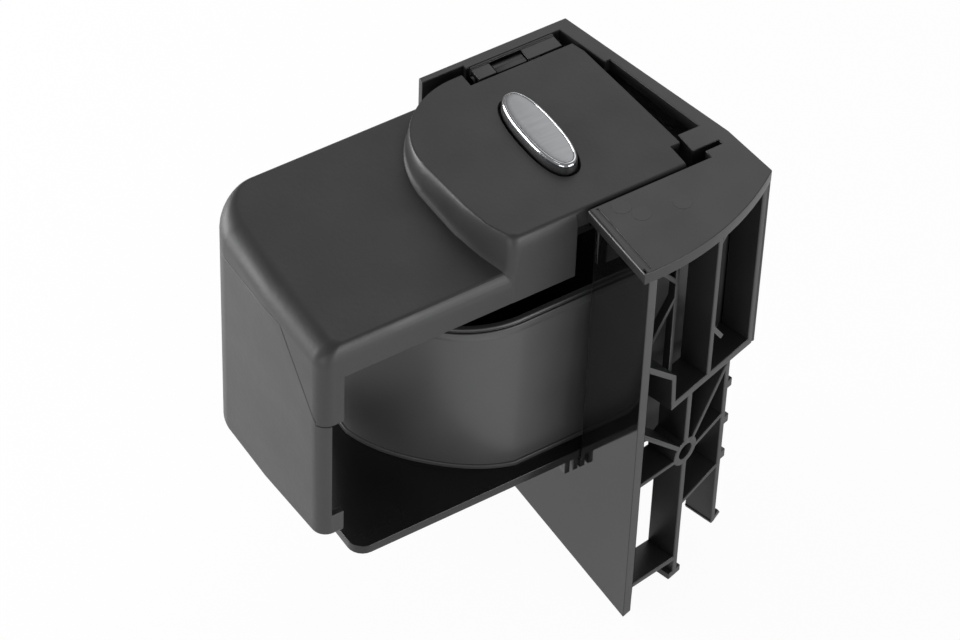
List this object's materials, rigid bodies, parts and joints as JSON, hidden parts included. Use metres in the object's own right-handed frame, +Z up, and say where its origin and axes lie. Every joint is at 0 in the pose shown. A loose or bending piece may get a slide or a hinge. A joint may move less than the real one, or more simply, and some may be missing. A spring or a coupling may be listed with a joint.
{
  "type": "car cup holder",
  "caption": "Car console cup holder: slotted mounting bracket, a tray with a deep cup well, and a sprung lid that swings up when its oval button is pressed.",
  "frame": {"origin": "a point in the middle of the broad end of the bracket's flange, on its upper face", "axes": "+Z up out of the flange face; +X along the bracket's front wall towards the lattice end; +Y into the console, away from the lid's front panel"},
  "size_m": [0.1156, 0.1665, 0.183],
  "materials": {
    "frame_plastic": "moulded, low gloss with a fine grain",
    "tray_plastic": "smooth moulded",
    "well_plastic": "smooth gloss",
    "mat_rubber": "matte",
    "pin_steel": "drawn",
    "spring_steel": "drawn wire",
    "screw_steel": "zinc plated",
    "buffer_rubber": "matte",
    "cover_plastic": "soft-touch, very fine grain",
    "panel_plastic": "soft-touch, very fine grain",
    "arm_plastic": "moulded",
    "latch_plastic": "moulded",
    "button_chrome": "satin"
  },
  "bodies": {
    "bracket": {"mounting_frame": "frame_plastic", "base_tray": "tray_plastic", "cup_well": "well_plastic", "well_mat": "mat_rubber", "hinge_pin": "pin_steel", "hinge_spring": "spring_steel", "tray_screws": "screw_steel", "stop_buffers": "buffer_rubber"},
    "lid": {"hood_cover": "cover_plastic", "front_panel": "panel_plastic", "hinge_arm": "arm_plastic", "hinge_screws": "screw_steel", "button_housing": "arm_plastic", "housing_screws": "screw_steel", "panel_screws": "screw_steel", "button_spring": "spring_steel"},
    "button": {"button_cap": "button_chrome", "button_carrier": "arm_plastic"},
    "latch": {"latch_slider": "latch_plastic"}
  },
  "joints": [
    {"name": "lid_hinge", "type": "hinge", "parent": "bracket", "child": "lid", "pos_m": [-0.0912, 0, -0.0043], "axis": [0, -1, 0], "range_deg": [0, 88]},
    {"name": "button_press", "type": "slide", "parent": "lid", "child": "button", "axis": [0, 0, -1], "range_m": [0, 0.0028], "stiffness_N_per_m": 500, "springref_m": -0.003, "deforming": ["button_spring"]},
    {"name": "latch_draw", "type": "slide", "parent": "lid", "child": "latch", "axis": [-1, 0, 0], "range_m": [0, 0.0028]}
  ],
  "couplings": [
    {"joint": "latch_draw", "follows": "button_press", "ratio": 1}
  ]
}
